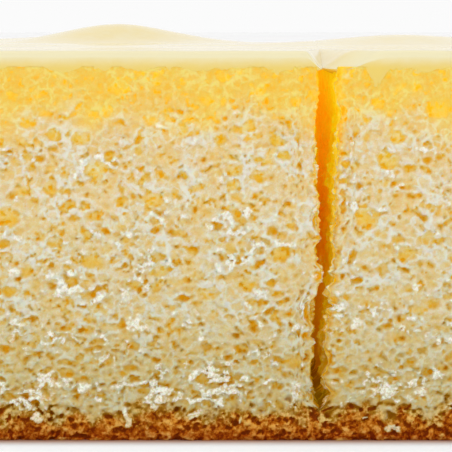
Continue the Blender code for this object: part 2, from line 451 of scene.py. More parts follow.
# Where the front light comes from, and the lamp above the cake: its size, place and tilt
FILL_FROM = (0.0, -0.8, 0.6)
LAMP_SIZE = 350.0
LAMP_PLACE = (0.0, -100.0, 450.0)
LAMP_TILT = math.radians(-15.0)
BOUNCES = 14
DIFFUSE_BOUNCES = 10


def smooth(t):
    """An eased step from 0 to 1, of a number or an array."""
    t = np.clip(t, 0.0, 1.0)
    return t * t * (3.0 - 2.0 * t)


def fall(distance, reach):
    """1 at an edge, easing to 0 at reach from it."""
    return 1.0 - smooth(distance / reach)


def ripple(u, v, cell, seed):
    """Smooth random relief from -1 to 1, with bumps of about one cell."""
    lattice = np.random.default_rng(seed).uniform(-1, 1, (LATTICE, LATTICE))
    u, v = np.asarray(u) / cell + LATTICE_START, np.asarray(v) / cell + LATTICE_START
    i, j = np.floor(u).astype(int), np.floor(v).astype(int)
    s, t = smooth(u - i), smooth(v - j)
    i, j, i1, j1 = i % LATTICE, j % LATTICE, (i + 1) % LATTICE, (j + 1) % LATTICE
    near = lattice[i, j] * (1 - s) + lattice[i1, j] * s
    far = lattice[i, j1] * (1 - s) + lattice[i1, j1] * s
    return near * (1 - t) + far * t


def blurred(grid, cells):
    """The mean of a square of cells round each point."""
    for axis in (0, 1):
        pad = [(0, 0), (0, 0)]
        pad[axis] = (cells + 1, cells)
        total = np.cumsum(np.pad(grid, pad, mode="edge"), axis=axis)
        span = 2 * cells + 1
        high = np.take(total, range(span, total.shape[axis]), axis=axis)
        low = np.take(total, range(0, total.shape[axis] - span), axis=axis)
        grid = (high - low) / span
    return grid


def table(rows, place):
    """Reads a table of place and value, in between its rows."""
    return np.interp(place, *np.array(rows).T)


# Heights, and the same heights as they would be if the bubbles were round
HEIGHTS = np.linspace(-1.0, SPONGE_TOP + 1.0, 400)
ROUND_HEIGHTS = np.cumsum(np.gradient(HEIGHTS) / table(FLATTENING, HEIGHTS))


def stepped(low, high, step_at):
    """Places from low to high, as far apart as step_at says at each."""
    places = [low]
    while places[-1] < high:
        places.append(places[-1] + step_at(places[-1]))
    places = np.array(places)
    return low + (places - low) * (high - low) / (places[-1] - low)


def cut_wall(y, z, left):
    """The x of the cut's left or right wall, for arrays of places."""
    heights, lefts, rights = np.array(CUT_WALLS).T
    front = np.interp(z, heights, lefts if left else rights)
    straight = CUT_STRAIGHT_LEFT if left else CUT_STRAIGHT_RIGHT
    along = (y + HALF_DEPTH) / (2 * HALF_DEPTH)
    from_front = smooth(along * 2.0)
    x = front + (straight - front) * CUT_STRAIGHTENING * from_front
    sway_seed = LEFT_SWAY_SEED if left else RIGHT_SWAY_SEED
    cell = 2 * HALF_DEPTH / CUT_SWAYS_PER_DEPTH
    x = x + CUT_SWAY * ripple(y, z, cell, sway_seed) * from_front
    if not left:
        x = x - CUT_BULGE * np.exp(-(((y - CUT_BULGE_Y) / CUT_BULGE_REACH) ** 2))
    lump, cell, seed = CUT_LUMPS
    x = x + lump * ripple(y, z, cell, seed + left)
    rag, cell, seed = CUT_RAGS
    near_front = fall(y + HALF_DEPTH, CUT_RAGS_REACH)
    ragged = CUT_RAGS_BEHIND + (1.0 - CUT_RAGS_BEHIND) * near_front
    x = x + rag * ripple(y, z, cell, seed + left) * ragged
    meeting = JOIN_X + (JOIN_OVERLAP if left else -JOIN_OVERLAP)
    return x + (meeting - x) * below_cut(z)


def below_cut(z):
    """1 below the cut, where the portions hold together, and 0 beside it."""
    return 1.0 - smooth((z - CUT_WALLS[0][0] + JOIN_DROP) / JOIN_BLEND)


# Sides, as the direction that each faces and the one that its places run along
SIDES = {
    "front": ((0, -1), (1, 0)),
    "back": ((0, 1), (-1, 0)),
    "left_end": ((-1, 0), (0, -1)),
    "right_end": ((1, 0), (0, 1)),
    "left_wall": ((1, 0), (0, 1)),
    "right_wall": ((-1, 0), (0, -1)),
}


def solid_pores():
    """The pores that the solids have on their four cut sides, as across, up and radius."""
    draw = random.Random(SEED)

    def side_pores(outward, width, reach):
        along = Vector((-outward.y, outward.x, 0))
        low = CRUST_HEIGHT + PORE_MARGIN
        high = SPONGE_TOP - PORE_MARGIN
        rows = round((high - low) / PORE_PITCH) + 1
        usable = width - 2 * PORE_MARGIN
        columns = round(usable / PORE_PITCH) + 1
        for row in range(rows):
            shift = PORE_ROW_SHIFT if row % 2 else -PORE_ROW_SHIFT
            for column in range(columns):
                across = (column + shift + PORE_SCATTER * draw.uniform(-1, 1)) / (columns - 1)
                across = min(max(across - 0.5, -0.5), 0.5)
                z = low + (high - low) * row / (rows - 1)
                z += PORE_SCATTER * PORE_PITCH * draw.uniform(-1, 1)
                z = min(max(z, low - PORE_EDGE_ROOM), high + PORE_EDGE_ROOM)
                radius = draw.uniform(*PORE_RADIUS)
                centre = outward * reach + along * usable * across + Vector((0, 0, z))
                yield centre, outward, radius

    def all_pores():
        for x, z, radius in WIDE_PORES:
            yield Vector((x, -HALF_DEPTH, z)), Vector((0, -1, 0)), radius
        for facing in (-1, 1):
            yield from side_pores(Vector((0, facing, 0)), 2 * HALF_WIDTH, HALF_DEPTH)
            yield from side_pores(Vector((facing, 0, 0)), 2 * HALF_DEPTH, HALF_WIDTH)

    found = {name: [] for name in SIDES}
    taken = []
    names = {(0, -1): "front", (0, 1): "back", (-1, 0): "left_end", (1, 0): "right_end"}
    for centre, outward, radius in all_pores():
        crowded = any((centre - c).length < radius + r + PORE_CLEARANCE for c, r in taken)
        at_cut = abs(centre.x) < PORE_CUT_ROOM + radius
        if crowded or (at_cut and len(taken) >= len(WIDE_PORES)):
            continue
        taken.append((centre, radius))
        draw.uniform(0, math.tau)
        name = names[(round(outward.x), round(outward.y))]
        run = SIDES[name][1]
        found[name].append((centre.x * run[0] + centre.y * run[1], centre.z, radius))
    return found


class Foam:
    """The bubbles behind one side, packed from wide to fine with thin walls between them."""

    def __init__(self, low, high, levels, pores, seed):
        self.draw = np.random.default_rng(seed)
        self.low = np.array([low - ROOM_PAST_ENDS, ROUND_HEIGHTS[0], ROOM_FRONT])
        self.high = np.array([high + ROOM_PAST_ENDS, ROUND_HEIGHTS[-1], ROOM_BACK])
        count = np.ceil((self.high - self.low) / ROOM_STEP).astype(int)
        self.room = np.full(count, ROOM_EMPTY, np.float32)
        self.places = [self.low[a] + ROOM_STEP * (np.arange(count[a]) + 0.5) for a in range(3)]
        self.rows = []
        for u, z, radius in pores:
            if low - PORES_PAST_ENDS < u < high + PORES_PAST_ENDS:
                v = np.interp(z, HEIGHTS, ROUND_HEIGHTS)
                self.add(u, v, -PORE_OUTSET * radius, radius)
        area = (high - low) * ROUND_HEIGHTS[-1]
        for level in levels:
            self.fill(area, *level)

    def add(self, u, v, w, radius):
        """Keeps a bubble, and takes the room round it."""
        cells = []
        squares = []
        for axis, centre in enumerate((u, v, w)):
            first = int((centre - radius - ROOM_REACH - self.low[axis]) / ROOM_STEP)
            last = int((centre + radius + ROOM_REACH - self.low[axis]) / ROOM_STEP) + 1
            first = max(first, 0)
            cells.append(slice(first, last))
            squares.append((self.places[axis][first:last] - centre) ** 2)
        far = squares[0][:, None, None] + squares[1][None, :, None] + squares[2][None, None, :]
        part = self.room[tuple(cells)]
        np.minimum(part, np.sqrt(far) - radius, out=part)
        z = np.interp(v, ROUND_HEIGHTS, HEIGHTS)
        lucky, turn, stretch = self.draw.random(3)
        opens = w <= OPEN_RADII * radius or lucky < DEEP_OPEN_SHARE
        turn = (turn - 0.5) * math.pi
        stretch = 1.0 + (BUBBLE_STRETCH * stretch if radius < PORE_RADIUS[1] / 2 else 0.0)
        self.rows.append((u, z, w, radius, table(FLATTENING, z), opens, turn, stretch))

    def fill(self, area, least, most, tries_per_area, shallow, deep):
        """Tries a bubble at each of many random spots, and keeps those that find room."""
        tries = int(area * tries_per_area)
        spots = self.draw.random((tries, 3))
        spots[:, 0] = self.low[0] + spots[:, 0] * (self.high[0] - self.low[0])
        spots[:, 1] = self.low[1] + spots[:, 1] * (self.high[1] - self.low[1])
        spots[:, 2] = shallow + spots[:, 2] * (deep - shallow)
        wanted = least + (most - least) * self.draw.random(tries) ** BUBBLE_SIZE_POWER
        cells = ((spots - self.low) / ROOM_STEP).astype(int)
        cells = np.clip(cells, 0, np.array(self.room.shape) - 1)
        roomy = self.room[tuple(cells.T)] * BUBBLE_SQUEEZE >= least
        for spot, cell, radius in zip(spots[roomy], cells[roomy], wanted[roomy]):
            free = float(self.room[tuple(cell)]) * BUBBLE_SQUEEZE
            if free >= least:
                self.add(*spot, min(radius, free))

    def bubbles(self):
        """Rows of across, up, depth, radius, height for width, whether the cut opens it, its turn
        and its stretch, the shallowest first."""
        made = np.array(self.rows)
        return made[np.argsort(made[:, 2] - made[:, 3])]


def open_bubbles(shape, u, z, across, up, bubbles):
    """How deep the surface is opened where a bubble is cut, or that breaks into another. A bubble
    just behind the surface leaves a dent."""
    depth = shape.copy()
    dents = np.zeros_like(depth)
    for first in (True, False):
        for cu, cz, cw, radius, rise, opens, turn, stretch in bubbles:
            wide = radius * stretch + WARP_REACH
            i0, i1 = np.searchsorted(u, (cu - wide, cu + wide))
            k0, k1 = np.searchsorted(z, (cz - wide, cz + wide))
            if i0 >= i1 or k0 >= k1:
                continue
            place = slice(i0, i1), slice(k0, k1)
            part = depth[place]
            du, dz = (across[place] - cu) / radius, (up[place] - cz) / (radius * rise)
            lean = 1.0 - PORE_LEAN * np.clip(dz, -1.0, 1.0)
            if stretch > 1.0:
                cos, sin = math.cos(turn), math.sin(turn)
                du, dz = (du * cos + dz * sin) / stretch, (dz * cos - du * sin) * stretch**0.5
            inside = np.maximum(1.0 - du * du - dz * dz, 0.0)
            if first and not opens and cw - radius < DENT_REACH:
                dent = DENT_DEPTH * min(radius, DENT_WIDEST) * inside
                np.maximum(dents[place], dent, out=dents[place])
            half = radius * np.sqrt(inside) * lean
            opened = (half > 0) & (cw - half <= part + MEMBRANE) & (cw + half > part)
            if not opens:
                opened &= part - shape[place] > BREAK_DEPTH
            part[opened] = np.minimum(cw + half[opened], DEEPEST)
    return depth - shape, dents


class Relief:
    """How deep one side's surface lies at a grid of places, and what shows there."""

    def __init__(self, name, u, z, bubbles, seed):
        self.name, self.u, self.z, self.seed = name, u, z, seed
        self.across, self.up = np.meshgrid(u, z, indexing="ij")
        self.warp_u, self.warp_z = self.layers(WARPS_ACROSS), self.layers(WARPS_UP)
        shape = self.layers(SWELLS)
        warped = self.across + self.warp_u, self.up + self.warp_z
        opened, dents = open_bubbles(shape, u, z, *warped, bubbles)
        opened = DEPTH_LIMIT * (1.0 - np.exp(-opened / DEPTH_LIMIT))
        opened = (1.0 - PORE_SOFTENING) * opened + PORE_SOFTENING * blurred(opened, 1)
        self.soak = smooth((self.up - SOAK_START + self.layers(SOAK_WANDER)) / SOAK_RISE)
        opened *= 1.0 - SOAK_FILLS_PORES * self.soak
        edge = CRUST_EDGE + self.layers(CRUST_WANDER)
        self.crust = 1.0 - smooth((self.up - edge) / CRUST_FADE)
        opened *= 1.0 - CRUST_FILLS_PORES * self.crust
        shape += dents * (1.0 - CRUST_FILLS_DENTS * self.crust)
        in_pores = np.clip(opened / POCKED_PORE_DEPTH, 0.0, 1.0)
        pocks = self.layers(POCKS) - POCK_RARITY + MORE_POCKS_IN_PORES * in_pores
        pocks = smooth(pocks / POCK_EASE)
        opened += POCK_DEPTH * pocks
        chipped = self.chips(*warped)
        opened = np.maximum(opened, CHIP_DEPTH * chipped)
        crumbs = self.layers(CRUMBS)
        torn = self.torn_bits(shape + opened + crumbs)
        standing = BIT_HEIGHT * torn * (1.0 + self.layers(BIT_RIPPLE))
        self.fleck = np.clip(torn, 0.0, 1.0)
        self.crust *= 1.0 - smooth((self.fleck - BIT_PALE_FROM) / BIT_PALE_SPAN)
        opened *= 1.0 - BITS_FILL_PORES * self.fleck
        self.depth = shape + opened + self.layers(GRAINS) * self.crust + crumbs - standing
        self.find_pits(opened, pocks, chipped)
        flat_top = smooth((self.up - FLAT_TOP_START) / FLAT_TOP_SPAN)
        self.depth *= RELIEF_SHARE - SOAKED_LOSS * self.soak - FLAT_TOP_LOSS * flat_top
        if name == "front":
            self.open_beside_cut()
        if "wall" in name:
            self.light_wall()
        self.glow = np.clip(self.glow, 0.0, 1.0)
        self.depth += FOOT_INSET * (1.0 + self.layers(FOOT_RIPPLE)) * fall(self.up, FOOT_HEIGHT)

    def layers(self, rows):
        """Adds up layers of noise, each turned another way."""
        total = 0.0
        for number, height, cell, *flat in rows:
            angle = GOLDEN_ANGLE * number
            x, y = self.across, self.up * (flat[0] if flat else 1.0)
            turned_x = x * math.cos(angle) + y * math.sin(angle)
            turned_y = y * math.cos(angle) - x * math.sin(angle)
            total = total + height * ripple(turned_x, turned_y, cell, self.seed + number)
        return total

    def chips(self, across, up):
        """1 where crumb broke off the cut's front edges, and 0 elsewhere."""
        chipped = np.zeros_like(up)
        for x, height, wide, tall in CHIPS if self.name == "front" else ():
            far = np.hypot((across - x) / wide, (up - height) / tall)
            same_side = self.across * x > 0
            chipped = np.maximum(chipped, fall(far, CHIP_SPREAD) * same_side)
        return chipped

    def torn_bits(self, rough):
        """How much crumb the knife has torn up: most of it on the rims of pores."""
        rim = np.clip((blurred(rough, WIDE_BLUR) - rough) / RIM_DEPTH, *RIM_LIMITS)
        torn = TEAR_GAIN * (self.layers(TEARS) - table(HOLD, self.up))
        torn = torn + RIM_TEARS * rim + self.layers(TEAR_FRAY)
        torn = smooth(torn - TEAR_START)
        fray = self.layers(FLECK_FRAY)
        for x, height, wide, tall, turn, out in self.flecks():
            cos, sin = math.cos(math.radians(turn)), math.sin(math.radians(turn))
            du = self.across + FLECK_WARP * self.warp_u - x
            dz = self.up + FLECK_WARP * self.warp_z - height
            far = np.hypot((du * cos + dz * sin) / wide, (dz * cos - du * sin) / tall)
            torn = np.maximum(torn, out / FLECK_FULL * fall(far + fray, FLECK_SPREAD))
        return torn

    def flecks(self):
        """Torn bits: the placed ones of the front, and scattered ones on every side."""
        if self.name == "front":
            yield from FLECKS
        draw = random.Random(self.seed)
        low, high = float(self.u[0]), float(self.u[-1])
        span = SPONGE_TOP - LOOSE_TOP_ROOM
        for _ in range(int((high - low) * SPONGE_TOP * LOOSE_FLECKS_PER_AREA)):
            height = CRUST_HEIGHT + LOOSE_START + span * draw.random() ** LOOSE_LOW_POWER
            size = draw.uniform(*LOOSE_SIZE)
            tall = size * draw.uniform(*LOOSE_TALLNESS)
            x, turn = draw.uniform(low, high), draw.uniform(-LOOSE_TURN, LOOSE_TURN)
            yield x, height, size, tall, turn, size * LOOSE_OUT

    def find_pits(self, opened, pocks, chipped):
        """Marks how far the crumb lies below what is round it, as painted shade, and its painted
        glow for light through it.
        """
        near, wide = blurred(self.depth, NEAR_BLUR), blurred(self.depth, WIDE_BLUR)
        rows_below = max(round(PIT_SHIFT / (self.z[1] - self.z[0])), 1)
        below = np.roll(blurred(opened, 1), rows_below, axis=1)
        self.pit = PIT_FINE * (self.depth - near) + PIT_WIDE * (near - wide) + PIT_OPENED * opened
        # Painted shade: darker in a pore's lower half, lighter in its upper half
        self.pit += PIT_LEAN * (opened - below) + PIT_POCKS * pocks + PIT_CHIPS * chipped
        lit = np.clip((opened - GLOW_START) / GLOW_SPAN, 0.0, 1.0)
        self.glow = PORE_GLOW * lit + CHIP_GLOW * chipped
        self.deep = np.zeros_like(opened)

    def open_beside_cut(self):
        """Rounds off the edge to the right of the cut with painted shade and glow, and sinks the
        crease under the cut.
        """
        beside = (self.across > 0) * (1.0 - below_cut(self.up))
        reach = BESIDE_REACH + BESIDE_WIDENING * smooth((self.up - BESIDE_FROM) / BESIDE_SPAN)
        for mark, amount, factor in BESIDE_CUT:
            values = getattr(self, mark)
            values += amount * fall(self.across, factor * reach) * beside
        self.depth += CREASE_DEPTH * fall(np.abs(self.across), CREASE_REACH) * below_cut(self.up)

    def light_wall(self):
        """Paints a glow and shade on a wall of the cut, for light through the crumb, less so at its
        ends and towards the back.
        """
        from_ends = HALF_DEPTH - np.abs(self.across)
        self.glow = smooth(from_ends / WALL_GLOW_REACH + WALL_GLOW_AT_END[self.name])
        y = self.across * sum(SIDES[self.name][1])
        self.glow *= 1.0 - BACK_DIMMING * smooth((y - BACK_DIM_FROM) / BACK_DIM_SPAN)
        self.pit += WALL_PIT * (1.0 + self.glow)
        self.deep = smooth((from_ends - DEEP_FROM) / DEEP_SPAN)

    def hold_back(self, near, far, edge_depth, rise):
        """Keeps the relief shallow towards a side's ends where another side meets it."""
        room = np.full(len(self.u), DEEPEST)
        if near:
            room = np.minimum(room, edge_depth + rise * np.abs(self.u - self.u[0]))
        if far:
            room = np.minimum(room, edge_depth + rise * np.abs(self.u[-1] - self.u))
        self.depth = np.clip(self.depth, -MOST_PROUD, room[:, None])


# The four stretches of a block's outline, in the order of a walk round it from its front left
# corner. Each has the direction that its relief goes in.
INWARD = {
    "front": (0, 1),
    "right": (-1, 0),
    "back": (0, -1),
    "left": (1, 0),
}
CORNER_REACH = 1.3
# Marks kept on the points. The crumb's finish paints shade from pit, and a glow from glow and deep
MARKS = ("pit", "crust", "soak", "fleck", "glow", "deep")

# The map for baking
MAP_GAP = 0.6
MAP_SLACK = 1.15
CAP_MAP_ROOM = 2.0
HIDDEN_MAP_WIDTH = 1.0

# How much of its colour the crumb keeps, from the base up: darker and more olive towards the
# base, partly denser crumb by the crust and partly painted shade for light falling from above
HEIGHT_TONE_AND_SHADE = (
    (0.0, (0.74, 0.74, 0.60)),
    (0.2, (0.778, 0.782, 0.65)),
    (0.35, (0.872, 0.90, 0.885)),
    (0.50, (0.917, 0.948, 0.962)),
    (0.65, (0.962, 0.970, 0.970)),
    (0.80, (0.980, 0.972, 0.965)),
    (1.0, (1.0, 1.0, 1.0)),
)

# The painted glow in the cut, emission for light through the crumb, from the base up: near its ends
# and deep in
NEAR_LIGHT = (
    (0.0, (0.10, 0.055, 0.0)),
    (0.25, (0.13, 0.09, 0.0)),
    (0.57, (0.17, 0.16, 0.0)),
    (0.86, (0.20, 0.28, 0.001)),
    (1.0, (0.24, 0.34, 0.004)),
)
DEEP_LIGHT = (
    (0.0, (0.09, 0.03, 0.0)),
    (0.25, (0.11, 0.045, 0.0)),
    (0.57, (0.15, 0.050, 0.0)),
    (0.86, (0.22, 0.14, 0.001)),
    (1.0, (0.26, 0.29, 0.003)),
)
# The same painted glow, for light through the icing, in the crumb that the icing's syrup has soaked
SOAKED_LIGHT = (0.10, 0.055, 0.004)
# The painted glow for light that comes through the crumb into its own pores, and into soaked ones
PORE_LIGHT = (0.015, 0.0, 0.0)
SOAKED_PORE_LIGHT = (0.15, 0.075, 0.0)
# Bits of crumb that lie over the crust
LOW_BITS = (0.87, 0.70, 0.45)

# The crust and the toasted crumb above it, from their hollows to their raised grains: their own
# mottling, with painted shade where the pit mark darkens the hollows
CRUST_TONES = (
    (0.30, (0.21, 0.030, 0.0003)),
    (0.47, (0.41, 0.095, 0.0008)),
    (0.74, (0.70, 0.31, 0.03)),
)
TOAST_TONES = (
    (0.28, (0.28, 0.11, 0.002)),
    (0.47, (0.40, 0.195, 0.012)),
    (0.76, (0.72, 0.50, 0.17)),
)


def outline_points(side, relief, along, across, warp_x):
    """The places of one stretch of the outline before its neighbours have their say."""
    x_or_y = np.repeat(along[:, None], relief.shape[1], axis=1)
    if side in ("front", "back"):
        x = x_or_y + warp_x
        y = across + INWARD[side][1] * relief
        return x, y
    return across + INWARD[side][0] * relief, x_or_y


def grid_quads(index):
    """Quads between the points of a grid, from their indices."""
    corners = [index[:-1, :-1], index[1:, :-1], index[1:, 1:], index[:-1, 1:]]
    return np.stack(corners, axis=-1).reshape(-1, 4)


def make_mesh(name, points, quads, caps, marks, quad_uv):
    """A closed mesh of quads and flat caps, with its marks on the points."""
    mesh = bpy.data.meshes.new(name)
    loops = np.concatenate([quads.ravel(), *caps])
    sizes = np.concatenate([np.full(len(quads), 4), [len(cap) for cap in caps]])
    starts = np.concatenate([[0], np.cumsum(sizes)[:-1]])
    mesh.vertices.add(len(points))
    mesh.vertices.foreach_set("co", (points * MM).astype(np.float32).ravel())
    mesh.loops.add(len(loops))
    mesh.loops.foreach_set("vertex_index", loops.astype(np.int32))
    mesh.polygons.add(len(sizes))
    mesh.polygons.foreach_set("loop_start", starts.astype(np.int32))
    smooth_shaded = np.ones(len(sizes), bool)
    smooth_shaded[len(quads):] = False
    mesh.update(calc_edges=True)
    mesh.polygons.foreach_set("use_smooth", smooth_shaded)
    for mark, values in marks.items():
        layer = mesh.attributes.new(mark, "FLOAT", "POINT")
        layer.data.foreach_set("value", values.astype(np.float32).ravel())
    layer = mesh.uv_layers.new(name="OFBake")
    layer.data.foreach_set("uv", quad_uv.astype(np.float32).ravel())
    mesh.validate()
    made = bpy.data.objects.new(name, mesh)
    bpy.context.scene.collection.objects.link(made)
    return made


def shelves(sizes):
    """Lower left corners of rectangles stood side by side on shelves, and the square they need."""
    gap = MAP_GAP
    width = math.sqrt(sum(w * h for w, h in sizes)) * MAP_SLACK
    width = max(width, max(w for w, _ in sizes) + gap)
    x = y = tallest = 0.0
    corners = []
    for w, h in sizes:
        if x + w > width:
            x, y, tallest = 0.0, y + tallest + gap, 0.0
        corners.append((x, y))
        x += w + gap
        tallest = max(tallest, h)
    return corners, max(width, y + tallest) + gap


class Block:
    """One closed block of sponge: four upright sides with their relief, a top and a bottom."""

    def __init__(self, portion, x_end, y_near, y_far, step, make_relief):
        self.left = left = portion == "left"
        self.x_end, self.y_near, self.y_far = x_end, y_near, y_far
        self.heights = heights = stepped(0.0, SPONGE_TOP, lambda z: step["up"])
        front = stepped(*((x_end, 0.0) if left else (0.0, x_end)), step["across"])
        depth = stepped(y_near, y_far, step["along"])
        sides = ("front", "left_wall" if left else "right_end", "back")
        sides += ("left_end" if left else "right_wall",)
        alongs = {"front": front, "right": depth, "back": front[::-1], "left": depth[::-1]}
        self.hidden = "front" if y_far == HALF_DEPTH else "back"
        self.order = list(INWARD)
        self.sides = {}
        for side, name in zip(self.order, sides):
            along = alongs[side]
            if side == self.hidden:
                self.sides[side] = (along[[0, -1]], None)
                continue
            relief = make_relief(name, along * sum(SIDES[name][1]), heights)
            before, after = self.neighbours(side)
            edge = WALL_EDGE if "wall" in name else SIDE_EDGE
            relief.hold_back(before != self.hidden, after != self.hidden, *edge)
            if "wall" in name:
                foot = CRUST_HEIGHT + WALL_FOOT
                relief.depth *= smooth((heights - foot) / WALL_FOOT_BLEND)[None, :]
            if before == self.hidden:
                relief.depth[0] += JOINT_SINK
            if after == self.hidden:
                relief.depth[-1] += JOINT_SINK
            self.sides[side] = (along, relief)

    def neighbours(self, side):
        """The stretches of the outline before and after a side."""
        place = self.order.index(side)
        return self.order[place - 1], self.order[(place + 1) % 4]

    def depth_of(self, side):
        """How deep a side's relief is at each of its places."""
        along, relief = self.sides[side]
        if relief is None:
            return np.zeros((len(along), len(self.heights)))
        return relief.depth

    def base(self, side, along):
        """Where a stretch of the outline lies across its own direction, and its x warp."""
        z = self.heights[None, :]
        along = along[:, None]
        warp = np.zeros((len(along), len(self.heights)))
        if side in ("front", "back"):
            y = self.y_near if side == "front" else self.y_far
            near = fall(np.abs(along), CUT_BLEND)
            warp = cut_wall(np.full_like(z, y), z, self.left) * near
            return np.full(warp.shape, y), warp
        at_cut = (side == "right") == self.left
        if at_cut:
            return cut_wall(along + 0 * z, z + 0 * along, self.left), warp
        return np.full(warp.shape, self.x_end), warp

    def build(self, name):
        """Makes the mesh. Each stretch leaves its last column to the next one."""
        columns, marks, widths = [], {mark: [] for mark in MARKS}, []
        for side in self.order:
            along, relief = self.sides[side]
            depth = self.depth_of(side)
            across, warp = self.base(side, along)
            x, y = outline_points(side, depth, along, across, warp)
            before, after = self.neighbours(side)
            from_start = fall(np.abs(along - along[0]), CORNER_REACH)[:, None]
            to_end = fall(np.abs(along - along[-1]), CORNER_REACH)[:, None]
            push_before = self.depth_of(before)[-1][None, :] * from_start
            push_after = self.depth_of(after)[0][None, :] * to_end
            x += INWARD[before][0] * push_before + INWARD[after][0] * push_after
            y += INWARD[before][1] * push_before + INWARD[after][1] * push_after
            z = self.heights[None, :] + 0 * x
            columns.append(np.stack([x, y, z], axis=-1)[:-1])
            widths.append(np.abs(along - along[0]))
            for mark, kept in marks.items():
                if relief is None:
                    kept.append(getattr(self.sides[before][1], mark)[-1:])
                else:
                    kept.append(getattr(relief, mark)[:-1])
        points = np.concatenate(columns)
        around, up = points.shape[:2]
        index = np.arange(around * up).reshape(around, up)
        quads = grid_quads(np.concatenate([index, index[:1]]))
        top, bottom = index[:, -1], index[::-1, 0]
        uv = self.map(widths, points, top, bottom)
        marks = {mark: np.concatenate(kept) for mark, kept in marks.items()}
        return make_mesh(name, points.reshape(-1, 3), quads, [top, bottom], marks, uv)

    def map(self, widths, points, top, bottom):
        """A flat map of each side and cap, for baking."""
        cap = (abs(self.x_end) + CAP_MAP_ROOM, self.y_far - self.y_near)
        sizes = []
        for side, width in zip(self.order, widths):
            sizes.append((HIDDEN_MAP_WIDTH if side == self.hidden else width[-1], SPONGE_TOP))
        corners, square = shelves([*sizes, cap, cap])
        v0, v1 = self.heights[:-1], self.heights[1:]
        maps = []
        for (x, y), width, (room, _) in zip(corners, widths, sizes):
            share = width / width[-1] * room
            u0, u1 = share[:-1, None] + 0 * v0, share[1:, None] + 0 * v0
            low, high = v0[None, :] + 0 * u0, v1[None, :] + 0 * u0
            quad = np.stack([u0, low, u1, low, u1, high, u0, high], axis=-1)
            maps.append(quad.reshape(-1, 4, 2).reshape(-1, 2) + (x, y))
        flat = points.reshape(-1, 3)
        for corner, loop in zip(corners[-2:], (top, bottom)):
            xy = flat[loop][:, :2]
            maps.append(xy - xy.min(0) + corner)
        return np.concatenate(maps) / square


class Number:
    """A number in a material's nodes. Arithmetic on it adds Math nodes."""

    def __init__(self, finish, socket):
        self.finish, self.socket = finish, socket

    def maths(self, operation, first, second):
        return self.finish.add("ShaderNodeMath", {"operation": operation}, {0: first, 1: second})

    def __add__(self, other):
        return self.maths("ADD", self, other)

    def __radd__(self, other):
        return self.maths("ADD", other, self)

    def __sub__(self, other):
        return self.maths("SUBTRACT", self, other)

    def __rsub__(self, other):
        return self.maths("SUBTRACT", other, self)

    def __mul__(self, other):
        return self.maths("MULTIPLY", self, other)

    def __rmul__(self, other):
        return self.maths("MULTIPLY", other, self)


class Nodes:
    """A node tree that is built up from settings, values and links."""

    def __init__(self, tree):
        self.tree = tree
        self.nodes = tree.nodes

    def add(self, kind, settings=None, values=None, output=0):
        """Adds a node: its settings first, then its sockets' values or links."""
        node = self.nodes.new(kind)
        for name, value in (settings or {}).items():
            if name == "stops":
                self.set_stops(node.color_ramp, value)
            else:
                setattr(node, name, value)
        for name, value in (values or {}).items():
            self.feed(node.inputs[name], value)
        return Number(self, node.outputs[output])

    def set_stops(self, ramp, stops):
        while len(ramp.elements) < len(stops):
            ramp.elements.new(1.0)
        for element, (place, colour) in zip(ramp.elements, stops):
            element.position = place
            element.color = (*colour, 1.0)

    def feed(self, socket, value):
        if isinstance(value, Number):
            self.tree.links.new(value.socket, socket)
        elif socket.type == "RGBA":
            socket.default_value = (*value, 1.0)
        else:
            socket.default_value = value


class Finish(Nodes):
    """One material, built up from nodes around its Principled shader."""

    def __init__(self, name):
        self.material = bpy.data.materials.new(name)
        self.material.use_nodes = True
        super().__init__(self.material.node_tree)
        self.shader = self.nodes["Principled BSDF"]

    def mark(self, name):
        """A number kept on the mesh's points."""
        return self.add("ShaderNodeAttribute", {"attribute_name": name}, output="Fac")

    def grain(self, size_mm, detail=3.0):
        """Random mottling of about a size, around 0.5."""
        where = self.add("ShaderNodeTexCoord", output="Object")
        values = {"Vector": where, "Scale": 1.0 / (size_mm * MM), "Detail": detail}
        return self.add("ShaderNodeTexNoise", values=values)

    def net(self, size_mm, thin=0.03, thick=0.24):
        """A ragged net with meshes of about a size: 1 on its threads."""
        where = self.add("ShaderNodeTexCoord", output="Object")
        values = {"Vector": where, "Scale": 1.2 / (size_mm * MM), "Detail": 2.0}
        shift = self.add("ShaderNodeTexNoise", values=values, output="Color")
        values = {0: shift, "Scale": 0.9 * size_mm * MM}
        shift = self.add("ShaderNodeVectorMath", {"operation": "SCALE"}, values)
        place = self.add("ShaderNodeVectorMath", {"operation": "ADD"}, {0: where, 1: shift})
        values = {"Vector": place, "Scale": 1.0 / (size_mm * MM)}
        edge = self.add("ShaderNodeTexVoronoi", {"feature": "DISTANCE_TO_EDGE"}, values)
        return 1.0 - self.step(edge, thin, thick)

    def height(self):
        """Height above the base, from 0 at the floor to 1 at the sponge's top."""
        where = self.add("ShaderNodeTexCoord", output="Object")
        z = self.add("ShaderNodeSeparateXYZ", values={0: where}, output="Z")
        return z * (1.0 / (SPONGE_TOP * MM))

    def step(self, value, low, high):
        """An eased step from 0 to 1 as value goes from low to high."""
        values = {"Value": value, "From Min": low, "From Max": high}
        return self.add("ShaderNodeMapRange", {"interpolation_type": "SMOOTHSTEP"}, values)

    def blend(self, share, first, second, how="MIX"):
        """Mixes two colours."""
        settings = {"data_type": "RGBA", "blend_type": how, "clamp_result": False}
        return self.add("ShaderNodeMix", settings, {0: share, 6: first, 7: second}, output=2)

    def ramp(self, value, stops):
        return self.add("ShaderNodeValToRGB", {"stops": stops}, {"Fac": value})

    def bump(self, height, distance_mm, strength=1.0):
        values = {"Height": height, "Distance": distance_mm * MM, "Strength": strength}
        self.feed(self.shader.inputs["Normal"], self.add("ShaderNodeBump", values=values))

    def set(self, **values):
        """Sets the shader's own sockets. A name's underscores stand for spaces."""
        for name, value in values.items():
            self.feed(self.shader.inputs[name.replace("_", " ")], value)


